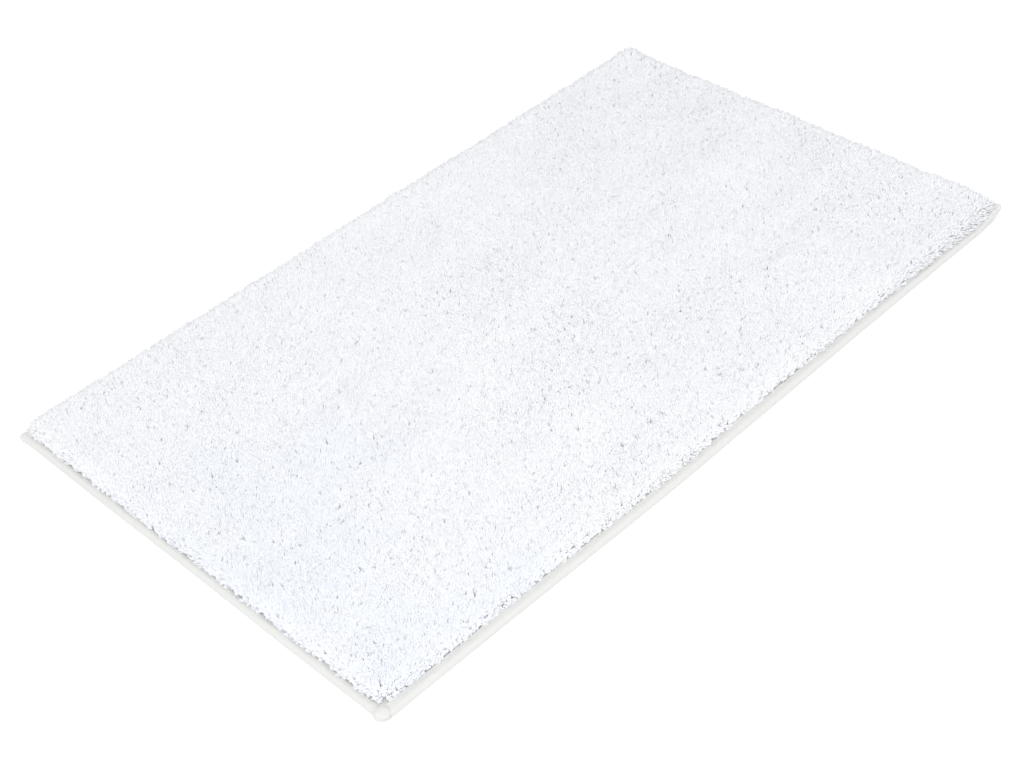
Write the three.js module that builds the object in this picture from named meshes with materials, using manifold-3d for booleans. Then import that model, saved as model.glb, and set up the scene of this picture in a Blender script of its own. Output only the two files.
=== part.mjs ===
// Bath mat: a field of cut pile on a coated cloth, bound on its four sides with folded tape.
//
// Millimetres, +Z up. The origin is the middle of the mat at floor level, X runs along the mat
// and Y across it. The front is the long side at -Y, and the left is the short side at -X.
//
// From the floor up, the mat is a rubber coat, a film of latex, a woven cloth and the pile. Each
// side's tape is folded round the edge of the three lower layers and sewn through. The long
// sides are bound first. The short sides' tapes then lap over the ends of the long ones, and
// stand a little proud of them at the corners.

import * as THREE from 'three';
import { mergeVertices } from 'three/addons/utils/BufferGeometryUtils.js';
import Module from 'manifold-3d';

const wasm = await Module();
wasm.setup();

// Driving dimensions
const MAT_LENGTH = 1000;
const MAT_WIDTH = 600;
const MAT_HEIGHT = 22;
const GAP = 0.3; // left between pieces that touch on the real mat

// Binding tape
const TAPE_TURNED = 2.0; // the tape's raw edge is turned in, so a flap is two layers thick
const TAPE_LAPPED = 1.2; // a flap pressed thin where two tapes lie on each other
const ROLL_HEIGHT = 8.2; // the full edge, outside the layers that it wraps
const ROLL_RADIUS = ROLL_HEIGHT / 2;
const ROLL_WALL = 1.6; // how far in the layers' edges lie
const FLAP_UNDER = 13; // how far each tape reaches in below
const FLAP_OVER_LONG = 11.5; // how far the long sides' tapes reach in on top
const FLAP_OVER_SHORT = 8; // and the short sides'
const FLAP_TOP = 7.4; // height of a top flap's inner end
const CORNER_PROUD = 3; // how far a short side's tape runs past the long side
const CORNER_ROUNDING = 1.8; // of its closed ends

// Layers, each from its lower to its upper face
const COAT = { bottom: TAPE_TURNED + GAP, top: 3.5 };
const LATEX = { bottom: COAT.top + GAP, top: 4.4 };
const CLOTH = { bottom: LATEX.top + GAP, top: 5.3 };
const OVER_CLOTH = CLOTH.top + GAP;
const LAYER_INSET = ROLL_WALL + GAP;

// Ends of the long tapes, pressed thin inside the short tapes' folds
const TONGUE = { bottom: TAPE_LAPPED + GAP, top: 6.2 };
const LAP = { bottom: TAPE_LAPPED, top: TONGUE.top + GAP };

// Seams
const THREAD_RADIUS = 0.25;
const STITCH_GROOVE = { width: 1.2, depth: 0.8 }; // the thread sinks this far into the tape
const SEAM_FROM_FLAP_END = 2; // the seam runs this far outside a top flap's inner end

// Pile
const PILE_CORNER_RADIUS = 14;
const PILE_FLARE = 5; // the outer tufts lean out over the tape
const PILE_FLARE_START = 9;
const PILE_FLARE_END = 14.5;
const PILE_SHOULDER = 3.5; // radius of the pile's rounded upper edge

// Care label, sewn into the front seam on the underside
const LABEL = { length: 54, width: 38, thickness: 0.4, x: -380, tail: 5 };

const COLOURS = {
  pile: 0xf4f7fc,
  tape: 0xf2f2ec,
  thread: 0xf6f6f2,
  cloth: 0xe8e6df,
  latex: 0xe4dfcf,
  coat: 0xeeeeea,
  label: 0xfafafa,
};

// ---------------------------------------------------------------------------------------------
// Helpers

function solidOf(geometry) {
  const bare = geometry.clone();
  bare.deleteAttribute('normal');
  bare.deleteAttribute('uv');
  const merged = mergeVertices(bare, 1e-4);
  return new wasm.Manifold(new wasm.Mesh({
    numProp: 3,
    vertProperties: new Float32Array(merged.attributes.position.array),
    triVerts: new Uint32Array(merged.index.array),
  }));
}

function cut(geometry, cutters) {
  let solid = solidOf(geometry);
  for (const cutter of cutters) {
    solid = solid.subtract(solidOf(cutter));
  }
  return geometryOf(solid);
}

function join(first, second) {
  return geometryOf(solidOf(first).add(solidOf(second)));
}

function geometryOf(solid) {
  const mesh = solid.getMesh();
  const geometry = new THREE.BufferGeometry();
  geometry.setAttribute('position', new THREE.BufferAttribute(mesh.vertProperties, 3));
  geometry.setIndex(new THREE.BufferAttribute(mesh.triVerts, 1));
  geometry.computeVertexNormals();
  return geometry;
}

// A box from its lowest corner to its highest
function boxBetween(low, high) {
  const size = high.map((value, axis) => value - low[axis]);
  const middle = high.map((value, axis) => (value + low[axis]) / 2);
  return new THREE.BoxGeometry(...size).translate(...middle);
}

function namedMesh(name, geometry, colour, roughness) {
  const material = new THREE.MeshStandardMaterial({ color: colour, roughness, metalness: 0 });
  const mesh = new THREE.Mesh(geometry, material);
  mesh.name = name;
  return mesh;
}

// ---------------------------------------------------------------------------------------------
// The layers under the pile

function layer(level, inset) {
  const halfLength = MAT_LENGTH / 2 - inset;
  const halfWidth = MAT_WIDTH / 2 - inset;
  return boxBetween([-halfLength, -halfWidth, level.bottom], [halfLength, halfWidth, level.top]);
}

// The coat's rim lies over the tapes' flaps, and its middle is thick enough to meet the floor
function antiSlipBacking() {
  const rim = layer(COAT, LAYER_INSET);
  const middle = layer({ bottom: 0, top: COAT.top }, FLAP_UNDER + GAP);
  return cut(join(rim, middle), [labelSpace(GAP, -1)]);
}

// The label, or with a margin and a lower floor the space left for it in the coat
function labelSpace(margin, bottom) {
  const outer = -MAT_WIDTH / 2 + LABEL.tail;
  return boxBetween(
    [LABEL.x - LABEL.width / 2 - margin, outer - margin, bottom],
    [LABEL.x + LABEL.width / 2 + margin, outer + LABEL.length + margin,
      COAT.bottom + LABEL.thickness + margin],
  );
}

// ---------------------------------------------------------------------------------------------
// The pile

// Its cross-section at the edge is turned round one corner's axis as a lathe turns it, and the
// four quarters are then pulled apart to the mat's four corners.
function pile() {
  const foot = PILE_CORNER_RADIUS;
  const widest = foot + PILE_FLARE;
  const shoulder = new THREE.Path();
  shoulder.moveTo(0, OVER_CLOTH);
  shoulder.lineTo(foot, OVER_CLOTH);
  shoulder.lineTo(foot, PILE_FLARE_START);
  shoulder.lineTo(widest, PILE_FLARE_END);
  shoulder.lineTo(widest, MAT_HEIGHT - PILE_SHOULDER);
  shoulder.absarc(widest - PILE_SHOULDER, MAT_HEIGHT - PILE_SHOULDER, PILE_SHOULDER, 0, Math.PI / 2);
  shoulder.lineTo(0, MAT_HEIGHT);

  const segments = 24;
  const halfStep = Math.PI / segments; // keeps every edge point off the quarters' borders
  const geometry = new THREE.LatheGeometry(shoulder.getPoints(4), segments, halfStep);
  geometry.rotateX(Math.PI / 2);

  const alongShift = MAT_LENGTH / 2 - FLAP_OVER_SHORT - GAP - foot;
  const acrossShift = MAT_WIDTH / 2 - FLAP_OVER_LONG - GAP - foot;
  const position = geometry.attributes.position;
  for (let index = 0; index < position.count; index += 1) {
    const x = position.getX(index);
    const y = position.getY(index);
    if (Math.hypot(x, y) > 1e-6) {
      position.setX(index, x + Math.sign(x) * alongShift);
      position.setY(index, y + Math.sign(y) * acrossShift);
    }
  }
  return geometry;
}

// ---------------------------------------------------------------------------------------------
// The binding tapes

// Outline across a tape without its lower flap, in distance from the outer edge and height: the
// full round edge and the upper flap, with the space that the layers take still filled.
function rollOutline(flapOver) {
  const outline = new THREE.Shape();
  outline.moveTo(flapOver, 0);
  outline.lineTo(flapOver, FLAP_TOP);
  outline.lineTo(ROLL_RADIUS, ROLL_HEIGHT);
  outline.absarc(ROLL_RADIUS, ROLL_RADIUS, ROLL_RADIUS, Math.PI / 2, Math.PI * 1.5);
  return outline;
}

// The lower flap, overlapping the roll so that the two join
function lowerFlap(halfRun) {
  return boxBetween([ROLL_RADIUS, 0, -halfRun], [FLAP_UNDER, TAPE_TURNED, halfRun]);
}

// Height of an upper flap's outer face at a distance from the outer edge
function flapHeight(distance, flapOver) {
  const share = (distance - ROLL_RADIUS) / (flapOver - ROLL_RADIUS);
  return THREE.MathUtils.lerp(ROLL_HEIGHT, FLAP_TOP, share);
}

// The space between the flaps, and the two grooves that the seam's threads lie in
function tapeCutters(flapOver, halfRun, halfGroove) {
  const seam = flapOver - SEAM_FROM_FLAP_END;
  const edges = [seam - STITCH_GROOVE.width / 2, seam + STITCH_GROOVE.width / 2];
  const above = flapHeight(seam, flapOver);
  return [
    boxBetween([ROLL_WALL, TAPE_TURNED, -halfRun], [FLAP_UNDER + 1, OVER_CLOTH, halfRun]),
    boxBetween([edges[0], above - STITCH_GROOVE.depth, -halfGroove],
      [edges[1], ROLL_HEIGHT + 1, halfGroove]),
    boxBetween([edges[0], -1, -halfGroove], [edges[1], STITCH_GROOVE.depth, halfGroove]),
  ];
}

// A long side's tape lies in its own frame: X in from the outer edge, Y up, Z along the side
function longTape() {
  const halfRun = MAT_LENGTH / 2 - LAYER_INSET;
  const roll = new THREE.ExtrudeGeometry(rollOutline(FLAP_OVER_LONG), {
    depth: 2 * halfRun,
    bevelEnabled: false,
    curveSegments: 12,
  });
  roll.translate(0, 0, -halfRun);
  const past = halfRun + 1;
  const wide = FLAP_UNDER + 1;
  const underLap = MAT_LENGTH / 2 - FLAP_UNDER - GAP;
  const overLap = MAT_LENGTH / 2 - FLAP_OVER_SHORT - GAP;
  const cutters = tapeCutters(FLAP_OVER_LONG, past, past);
  for (const end of [-1, 1]) {
    const [underLow, underHigh] = [end * underLap, end * past].sort((a, b) => a - b);
    const [overLow, overHigh] = [end * overLap, end * past].sort((a, b) => a - b);
    cutters.push(
      boxBetween([-1, -1, underLow], [wide, TONGUE.bottom, underHigh]),
      boxBetween([-1, TONGUE.top, overLow], [wide, ROLL_HEIGHT + 1, overHigh]),
      boxBetween([-1, -1, overLow], [GAP, ROLL_HEIGHT + 1, overHigh]),
    );
  }
  return cut(join(roll, lowerFlap(halfRun)), cutters);
}

// A short side's tape is closed at both ends, round the ends of the long tapes
function shortTape() {
  const halfRun = MAT_WIDTH / 2 + CORNER_PROUD;
  const halfCore = halfRun - CORNER_ROUNDING;
  const roll = new THREE.ExtrudeGeometry(rollOutline(FLAP_OVER_SHORT), {
    depth: 2 * halfCore,
    bevelThickness: CORNER_ROUNDING,
    bevelSize: CORNER_ROUNDING,
    bevelOffset: -CORNER_ROUNDING,
    bevelSegments: 3,
    curveSegments: 12,
  });
  roll.translate(0, 0, -halfCore);
  const lapStart = MAT_WIDTH / 2 - FLAP_UNDER - GAP;
  const lapEnd = MAT_WIDTH / 2;
  const wide = FLAP_UNDER + 1;
  const cutters = tapeCutters(FLAP_OVER_SHORT, lapStart, halfRun + 1);
  for (const end of [-1, 1]) {
    const [low, high] = [end * lapStart, end * lapEnd].sort((a, b) => a - b);
    cutters.push(boxBetween([ROLL_WALL, LAP.bottom, low], [wide, LAP.top, high]));
  }
  return cut(join(roll, lowerFlap(halfCore)), cutters);
}

// ---------------------------------------------------------------------------------------------
// The seams

function thread(length) {
  return new THREE.CylinderGeometry(THREAD_RADIUS, THREAD_RADIUS, length, 8).rotateX(Math.PI / 2);
}

// Upper and lower thread of one seam, in the tape's own frame
function seamThreads(side, flapOver, overLength, underLength) {
  const seam = flapOver - SEAM_FROM_FLAP_END;
  const grooveFloor = flapHeight(seam, flapOver) - STITCH_GROOVE.depth;
  const needle = thread(overLength).translate(seam, grooveFloor + GAP + THREAD_RADIUS, 0);
  const bobbin = thread(underLength).translate(seam, THREAD_RADIUS, 0);
  return [
    namedMesh(`needle_thread_${side}`, needle, COLOURS.thread, 0.6),
    namedMesh(`bobbin_thread_${side}`, bobbin, COLOURS.thread, 0.6),
  ];
}

// ---------------------------------------------------------------------------------------------
// Assembly

// Stands a side's own frame upright, then turns it so that its inward direction is right
function placeSide(turn, distance) {
  const side = new THREE.Group();
  const upright = new THREE.Group();
  upright.rotation.x = Math.PI / 2;
  upright.position.x = -distance;
  side.rotation.z = turn;
  side.add(upright);
  mat.add(side);
  return upright;
}

const mat = new THREE.Group();

mat.add(
  namedMesh('anti_slip_backing', antiSlipBacking(), COLOURS.coat, 0.75),
  namedMesh('latex_precoat', layer(LATEX, LAYER_INSET), COLOURS.latex, 0.8),
  namedMesh('primary_backing', layer(CLOTH, LAYER_INSET), COLOURS.cloth, 0.95),
  namedMesh('pile', pile(), COLOURS.pile, 1.0),
  namedMesh('care_label', labelSpace(0, COAT.bottom), COLOURS.label, 0.45),
);

const longSides = { front: Math.PI / 2, back: -Math.PI / 2 };
for (const [side, turn] of Object.entries(longSides)) {
  const place = placeSide(turn, MAT_WIDTH / 2);
  const overLength = MAT_LENGTH - 2 * (FLAP_OVER_SHORT + 2 * GAP);
  const underLength = MAT_LENGTH - 2 * (FLAP_UNDER + 2 * GAP);
  place.add(namedMesh(`binding_tape_${side}`, longTape(), COLOURS.tape, 0.95));
  place.add(...seamThreads(side, FLAP_OVER_LONG, overLength, underLength));
}

const shortSides = { left: 0, right: Math.PI };
for (const [side, turn] of Object.entries(shortSides)) {
  const place = placeSide(turn, MAT_LENGTH / 2);
  const threadLength = MAT_WIDTH - 2 * GAP;
  place.add(namedMesh(`binding_tape_${side}`, shortTape(), COLOURS.tape, 0.95));
  place.add(...seamThreads(side, FLAP_OVER_SHORT, threadLength, threadLength));
}

export default mat;
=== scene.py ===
# %% [markdown]
# # A tufted bath mat
#
# The mat is a field of cut yarn ends standing in a woven cloth. Latex locks the yarn from below,
# a soft rubber coat keeps the mat from sliding, and a folded tape is sewn round each side. This
# lesson builds every one of those pieces as real geometry, in metres, in the frame that the
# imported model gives: X runs along the mat, Y across it, and the floor is at zero.

import math

import bpy
import numpy as np
from mathutils import Matrix, Vector


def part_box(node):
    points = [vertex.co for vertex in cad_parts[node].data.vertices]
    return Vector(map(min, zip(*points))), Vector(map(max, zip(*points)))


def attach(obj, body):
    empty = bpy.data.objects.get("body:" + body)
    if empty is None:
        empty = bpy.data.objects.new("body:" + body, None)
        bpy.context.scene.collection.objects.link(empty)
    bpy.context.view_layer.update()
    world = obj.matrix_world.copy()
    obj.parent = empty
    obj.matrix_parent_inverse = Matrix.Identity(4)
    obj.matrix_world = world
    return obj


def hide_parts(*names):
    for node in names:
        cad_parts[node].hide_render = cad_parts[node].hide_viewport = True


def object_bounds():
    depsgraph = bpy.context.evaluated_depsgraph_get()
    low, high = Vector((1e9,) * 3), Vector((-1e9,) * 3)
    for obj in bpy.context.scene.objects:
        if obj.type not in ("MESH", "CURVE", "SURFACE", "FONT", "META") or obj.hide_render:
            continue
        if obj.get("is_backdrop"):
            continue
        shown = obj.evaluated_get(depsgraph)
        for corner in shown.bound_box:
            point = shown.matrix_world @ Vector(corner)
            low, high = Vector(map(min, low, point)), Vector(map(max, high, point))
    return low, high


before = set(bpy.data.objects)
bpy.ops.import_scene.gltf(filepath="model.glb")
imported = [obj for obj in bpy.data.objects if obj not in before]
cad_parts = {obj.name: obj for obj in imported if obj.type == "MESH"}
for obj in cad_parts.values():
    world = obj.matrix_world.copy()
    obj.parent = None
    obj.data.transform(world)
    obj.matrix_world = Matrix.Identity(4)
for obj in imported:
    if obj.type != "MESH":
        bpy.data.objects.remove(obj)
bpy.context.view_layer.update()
MM = 0.001

# %% [markdown]
# Every size below starts from the frame's own nodes, so the soft pieces land where the design
# says. The front tape gives the finished width, the left tape the finished length, and the
# layers between the tapes' flaps give the heights at which things touch.

# %% Measure the design
left_low, left_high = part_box("binding_tape_left")
front_low, front_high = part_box("binding_tape_front")
cloth_low, cloth_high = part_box("primary_backing")
latex_low, latex_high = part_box("latex_precoat")
coat_low, coat_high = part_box("anti_slip_backing")
pile_low, pile_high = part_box("pile")
label_low, label_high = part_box("care_label")

HALF_LENGTH = -left_low.x
HALF_WIDTH = -front_low.y
CORNER_REACH = left_high.y
EDGE_HEIGHT = front_high.z
print("half length, half width, edge height, mm:",
      [round(v / MM, 1) for v in (HALF_LENGTH, HALF_WIDTH, EDGE_HEIGHT)])

# %% [markdown]
# ## The view
#
# The camera looks down on the mat from its front left, turned a little about its own axis. A
# camera's place can be typed in as numbers, but it is easier to think of it as a compass
# direction, a height above the floor and a distance, as a photographer would.

# %% Place the camera
VIEW_TURN = math.radians(-41.1)
VIEW_RISE = math.radians(40.7)
VIEW_ROLL = math.radians(-6.46)
VIEW_DISTANCE = 1.973 * 2 * HALF_LENGTH
AIM = Vector((-0.089 * 2 * HALF_LENGTH, -0.097 * 2 * HALF_WIDTH, 0))
SENSOR_WIDTH = 36
FOCAL_LENGTH = 62.9

back = Vector((math.sin(VIEW_TURN) * math.cos(VIEW_RISE),
               -math.cos(VIEW_TURN) * math.cos(VIEW_RISE),
               math.sin(VIEW_RISE)))
right = Vector((0, 0, 1)).cross(back).normalized()
upward = back.cross(right)
facing = Matrix((right, upward, back)).transposed() @ Matrix.Rotation(VIEW_ROLL, 3, "Z")

lens = bpy.data.cameras.new("view")
lens.sensor_width = SENSOR_WIDTH
lens.lens = FOCAL_LENGTH
camera = bpy.data.objects.new("view", lens)
camera.matrix_world = Matrix.Translation(AIM + back * VIEW_DISTANCE) @ facing.to_4x4()
bpy.context.scene.collection.objects.link(camera)
bpy.context.scene.camera = camera
print("camera stands at, m:", [round(v, 3) for v in camera.matrix_world.translation])

# %% [markdown]
# ## Light and floor
#
# White cloth on a white floor only shows by its shadows, so the light has to be soft but not
# quite even. A bright room gives the fill. One broad lamp, in front of the mat and to its left,
# gives each tuft a lit side and a shaded side.

# %% Light the room
scene = bpy.context.scene
scene.view_settings.view_transform = "Standard"
scene.cycles.diffuse_bounces = 8

ROOM_COLOUR = (0.975, 0.985, 1.0, 1)
ROOM_STRENGTH = 0.86
WINDOW_PLACE = (-2.7, -2.9, 4.8)
WINDOW_SIZE = 2.4
WINDOW_WATTS = 160

room = bpy.data.worlds.new("bright room")
room.use_nodes = True
background = room.node_tree.nodes["Background"]
background.inputs["Color"].default_value = ROOM_COLOUR
background.inputs["Strength"].default_value = ROOM_STRENGTH
scene.world = room

window = bpy.data.lights.new("window light", "AREA")
window.shape = "DISK"
window.size = WINDOW_SIZE
window.energy = WINDOW_WATTS
window_holder = bpy.data.objects.new("window light", window)
toward_mat = Vector(WINDOW_PLACE).to_track_quat("Z", "Y").to_matrix().to_4x4()
window_holder.matrix_world = Matrix.Translation(WINDOW_PLACE) @ toward_mat
scene.collection.objects.link(window_holder)
print("lamp:", WINDOW_WATTS, "watts, at, m:", WINDOW_PLACE)

# %% [markdown]
# The floor is one large square. It belongs to the stage and not to the mat, so it is marked as a backdrop,
# and the mat's measured size leaves it out.

# %% Lay the floor
FLOOR_HALF = 6
FLOOR_COLOUR = (0.98, 0.98, 0.98, 1)
FLOOR_ROUGHNESS = 0.9

floor_mesh = bpy.data.meshes.new("floor")
floor_mesh.from_pydata(
    [(x * FLOOR_HALF, y * FLOOR_HALF, 0) for x, y in ((-1, -1), (1, -1), (1, 1), (-1, 1))],
    [], [(0, 1, 2, 3)])
floor = bpy.data.objects.new("floor", floor_mesh)
scene.collection.objects.link(floor)
floor_paint = bpy.data.materials.new("floor paint")
floor_paint.use_nodes = True
paint_shader = floor_paint.node_tree.nodes["Principled BSDF"]
paint_shader.inputs["Base Color"].default_value = FLOOR_COLOUR
paint_shader.inputs["Roughness"].default_value = FLOOR_ROUGHNESS
floor_mesh.materials.append(floor_paint)
floor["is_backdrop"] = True
print("floor, m:", 2 * FLOOR_HALF, "by", 2 * FLOOR_HALF)

# %% [markdown]
# ## Helpers for cloth and yarn
#
# Real cloth is never quite straight. Smooth random hills, drawn from a small table of random
# numbers, give every wobble in this file. The same seed always gives the same hills, so the mat
# comes out alike each time.

# %% Random hills
LATTICE = 256


def hills(x, y, spacing, seed):
    """Smooth random heights from -1 to 1 over the plane, with hills about one spacing apart."""
    table = np.random.default_rng(seed).uniform(-1, 1, (LATTICE, LATTICE))
    u = np.asarray(x) / spacing + LATTICE / 2
    v = np.asarray(y) / spacing + LATTICE / 2
    i, j = np.floor(u).astype(int), np.floor(v).astype(int)
    a, b = u - i, v - j
    a, b = a * a * (3 - 2 * a), b * b * (3 - 2 * b)
    near = table[i % LATTICE, j % LATTICE] * (1 - a) + table[(i + 1) % LATTICE, j % LATTICE] * a
    far = (table[i % LATTICE, (j + 1) % LATTICE] * (1 - a)
           + table[(i + 1) % LATTICE, (j + 1) % LATTICE] * a)
    return near * (1 - b) + far * b


def ease(value):
    """Runs smoothly from 0 to 1 as value does, and stays level outside."""
    t = np.clip(value, 0, 1)
    return t * t * (3 - 2 * t)


print("ease at 0, a quarter, a half and 1:", ease([0, 0.25, 0.5, 1]))

# %% [markdown]
# A mat that has been packed and unrolled doesn't lie dead flat. Its front edge bows out by a
# few millimetres, and the right front corner curls up off the floor. Each piece is first
# made flat and straight, and its points then go through the one function below, so all the
# layers bend together and nothing pokes through.

# %% How the mat lies
BOW = 4 * MM
BOW_MIDDLE = -0.18 * HALF_LENGTH
BOW_RUN = 0.42 * HALF_LENGTH
WANDER = 0.7 * MM  # how far the edges stray from straight
WANDER_ALONG = 160 * MM
WANDER_ACROSS = 140 * MM
CURL_LIFT = 8 * MM
CURL_REACH = 85 * MM
CURL_POWER = 2.5
CURL_PULL = (-0.1, 0.3)  # the curled corner also comes in by this share of its lift


def lie(points):
    """The points of the flat design, moved to where the real mat has them."""
    moved = np.array(points, float)
    x, y = moved[:, 0].copy(), moved[:, 1].copy()
    toward_front = ease(0.5 - y / (2 * HALF_WIDTH))
    bow = np.exp(-((x - BOW_MIDDLE) / BOW_RUN) ** 2)
    moved[:, 1] -= BOW * bow * toward_front
    moved[:, 1] += WANDER * hills(x, 0 * x, WANDER_ALONG, 3) * np.abs(y) / HALF_WIDTH
    moved[:, 0] += WANDER * hills(y, 0 * y, WANDER_ACROSS, 4) * np.abs(x) / HALF_LENGTH
    from_corner = np.hypot(x - HALF_LENGTH, y + HALF_WIDTH)
    curl = np.clip(1 - from_corner / CURL_REACH, 0, 1) ** CURL_POWER
    moved[:, 2] += CURL_LIFT * curl
    moved[:, 1] += CURL_PULL[1] * CURL_LIFT * curl
    moved[:, 0] += CURL_PULL[0] * CURL_LIFT * curl
    return moved


right_front = np.array([[HALF_LENGTH, -HALF_WIDTH, 0]])
print("the right front corner moves, mm:", np.round((lie(right_front) - right_front) / MM, 1))

# %% [markdown]
# Blender can build a mesh from plain lists, but with hundreds of thousands of points that is slow. Its
# foreach_set calls copy whole number arrays at once, so every piece goes through the one helper below. It
# also hangs the piece on the body it rides on, hides the node of the model that it replaces and gives it
# its finish.

# %% Make a mesh from arrays of points and faces
def make_piece(name, points, faces, finish, nodes):
    """A finished piece of the mat: faces is an array with one row of point numbers a face."""
    mesh = bpy.data.meshes.new(name)
    mesh.vertices.add(len(points))
    mesh.vertices.foreach_set("co", lie(points).astype(np.float32).ravel())
    mesh.loops.add(faces.size)
    mesh.loops.foreach_set("vertex_index", faces.astype(np.int32).ravel())
    mesh.polygons.add(len(faces))
    starts = np.arange(0, faces.size, faces.shape[1], dtype=np.int32)
    mesh.polygons.foreach_set("loop_start", starts)
    mesh.update(calc_edges=True)
    mesh.shade_smooth()
    mesh.materials.append(finish)
    piece = bpy.data.objects.new(name, mesh)
    scene.collection.objects.link(piece)
    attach(piece, "root")
    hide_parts(*nodes)
    return piece


def ring_faces(rings, sides, closed=True):
    """Four-sided faces between neighbouring rings of points, each ring given as sides points."""
    ring = np.arange(rings - 1)[:, None] * sides
    side = np.arange(sides if closed else sides - 1)[None, :]
    after = (side + 1) % sides
    corners = [ring + side, ring + after, ring + sides + after, ring + sides + side]
    return np.stack(corners, -1).reshape(-1, 4)


def strip_faces(rings, sides):
    """Faces of an outline swept through rings of points, with both of its ends closed."""
    one = np.arange(sides // 2 - 1)
    first = np.stack([one, sides - 1 - one, sides - 2 - one, one + 1], 1)
    last = first[:, ::-1] + (rings - 1) * sides
    return np.concatenate([ring_faces(rings, sides), first, last])


def border_of(number):
    """The point numbers round the border of a grid of them, in turn."""
    return np.concatenate([number[0, :-1], number[:-1, -1], number[-1, :0:-1], number[:0:-1, 0]])


def add_map(piece, name, place):
    """Gives a piece a flat map, from one place on the map for each point."""
    mesh = piece.data
    corners = np.empty(len(mesh.loops), np.int32)
    mesh.loops.foreach_get("vertex_index", corners)
    layer = mesh.uv_layers.new(name=name)
    layer.uv.foreach_set("vector", place[corners].astype(np.float32).ravel())


print("an outline of 6 points in 3 rings makes", len(strip_faces(3, 6)), "faces")


# %% [markdown]
# ## Finishes
#
# Each material is made from nodes. The small helper below adds one node, sets its values and
# links what is given as a socket, so that a material reads as a short list.

# %% Helpers for nodes
WAVE = 0.314  # a wave texture makes one wave in this length over its scale


def add(tree, kind, inputs=None, **options):
    """Adds a node. An input given as a socket is linked, any other one is set."""
    made = tree.nodes.new("ShaderNode" + kind)
    for name, value in options.items():
        setattr(made, name, value)
    for name, value in (inputs or {}).items():
        socket = made.inputs[name]
        if isinstance(value, bpy.types.NodeSocket):
            tree.links.new(value, socket)
        else:
            socket.default_value = value
    return made


def new_finish(name, roughness, sheen=0.0):
    """A soft, slightly shiny material, with its node tree and its shader."""
    material = bpy.data.materials.new(name)
    material.use_nodes = True
    shader = material.node_tree.nodes["Principled BSDF"]
    shader.inputs["Roughness"].default_value = roughness
    shader.inputs["Specular IOR Level"].default_value = 0.25
    shader.inputs["Sheen Weight"].default_value = sheen
    shader.inputs["Sheen Roughness"].default_value = 0.5
    return material, material.node_tree, shader


def blend_colour(tree, share, first, second):
    """A colour that runs from the first to the second as share goes from 0 to 1."""
    mixer = add(tree, "Mix", data_type="RGBA")
    for place, value in ((0, share), (6, first), (7, second)):
        if isinstance(value, bpy.types.NodeSocket):
            tree.links.new(value, mixer.inputs[place])
        else:
            mixer.inputs[place].default_value = value
    return mixer.outputs[2]


def product(tree, first, second):
    """The product of two sockets."""
    return add(tree, "Math", {0: first, 1: second}, operation="MULTIPLY").outputs[0]


def wear(tree, shader, colour, bump):
    """Gives a shader its colour and the bumps on its surface."""
    tree.links.new(colour, shader.inputs["Base Color"])
    tree.links.new(bump.outputs["Normal"], shader.inputs["Normal"])


print("a wave 1 mm long has the scale", round(WAVE / MM))

# %% [markdown]
# The yarn is a bundle of very fine, bright fibres. Light sinks in between them, so the foot of a tuft
# looks darker and the tips glow. The yarn's colour paints that in: it is darker towards the foot, which is
# painted shade. Two attributes that come with the tufts carry this: how far along the yarn a point is, and
# the tuft's own small difference in tone from dyeing.

# %% Pile yarn
# painted shade: the foot colour is the yarn darkened where light sinks in between the ends
YARN_FOOT_PAINTED_SHADE = (0.905, 0.91, 0.93, 1)
YARN_TIP = (0.938, 0.941, 0.959, 1)
YARN_TIP_BLUISH = (0.89, 0.917, 0.972, 1)


def pile_yarn():
    """White yarn with painted shade at the foot, and bluish patches towards the mat's front left."""
    material, tree, shader = new_finish("white pile yarn", 0.85, sheen=0.25)
    along = add(tree, "Attribute", attribute_name="along").outputs["Fac"]
    tone = add(tree, "Attribute", attribute_name="tone").outputs["Fac"]
    place = add(tree, "TexCoord").outputs["Object"]
    drift = add(tree, "TexNoise", {"Vector": place, "Scale": 9.0, "Detail": 6.0})
    patches = add(tree, "MapRange", {"Value": drift.outputs["Fac"], "From Min": 0.3, "From Max": 0.7})
    # The bluish patches are all towards the front left
    axes = add(tree, "SeparateXYZ", {"Vector": place})
    near_left = add(tree, "MapRange", {"Value": axes.outputs["X"], "From Min": -0.22 * HALF_LENGTH,
                                       "From Max": -0.75 * HALF_LENGTH})
    near_front = add(tree, "MapRange", {"Value": axes.outputs["Y"], "From Min": 0.75 * HALF_WIDTH,
                                        "From Max": 0.2 * HALF_WIDTH})
    there = product(tree, near_left.outputs[0], near_front.outputs[0])
    bluish = product(tree, there, patches.outputs[0])
    tips = blend_colour(tree, bluish, YARN_TIP, YARN_TIP_BLUISH)
    # painted shade: the colour runs darker towards the foot of each yarn end
    lit = blend_colour(tree, along, YARN_FOOT_PAINTED_SHADE, tips)
    toned = add(tree, "HueSaturation", {"Color": lit, "Value": tone})
    fibre = add(tree, "TexNoise", {"Vector": place, "Scale": 1600.0, "Detail": 3.0})
    bump = add(tree, "Bump", {"Height": fibre.outputs["Fac"], "Strength": 0.15, "Distance": 0.1 * MM})
    wear(tree, shader, toned.outputs["Color"], bump)
    return material


PILE_YARN = pile_yarn()
print(PILE_YARN.name, "has", len(PILE_YARN.node_tree.nodes), "nodes")


# %% [markdown]
# The binding tape is a soft narrow weave. Its warp runs along the mat's edge and its weft across.
# Each tape piece carries a map named "weave", in metres along and across the tape, so two
# crossed waves in that map always follow the threads, even round the fold.

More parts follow.
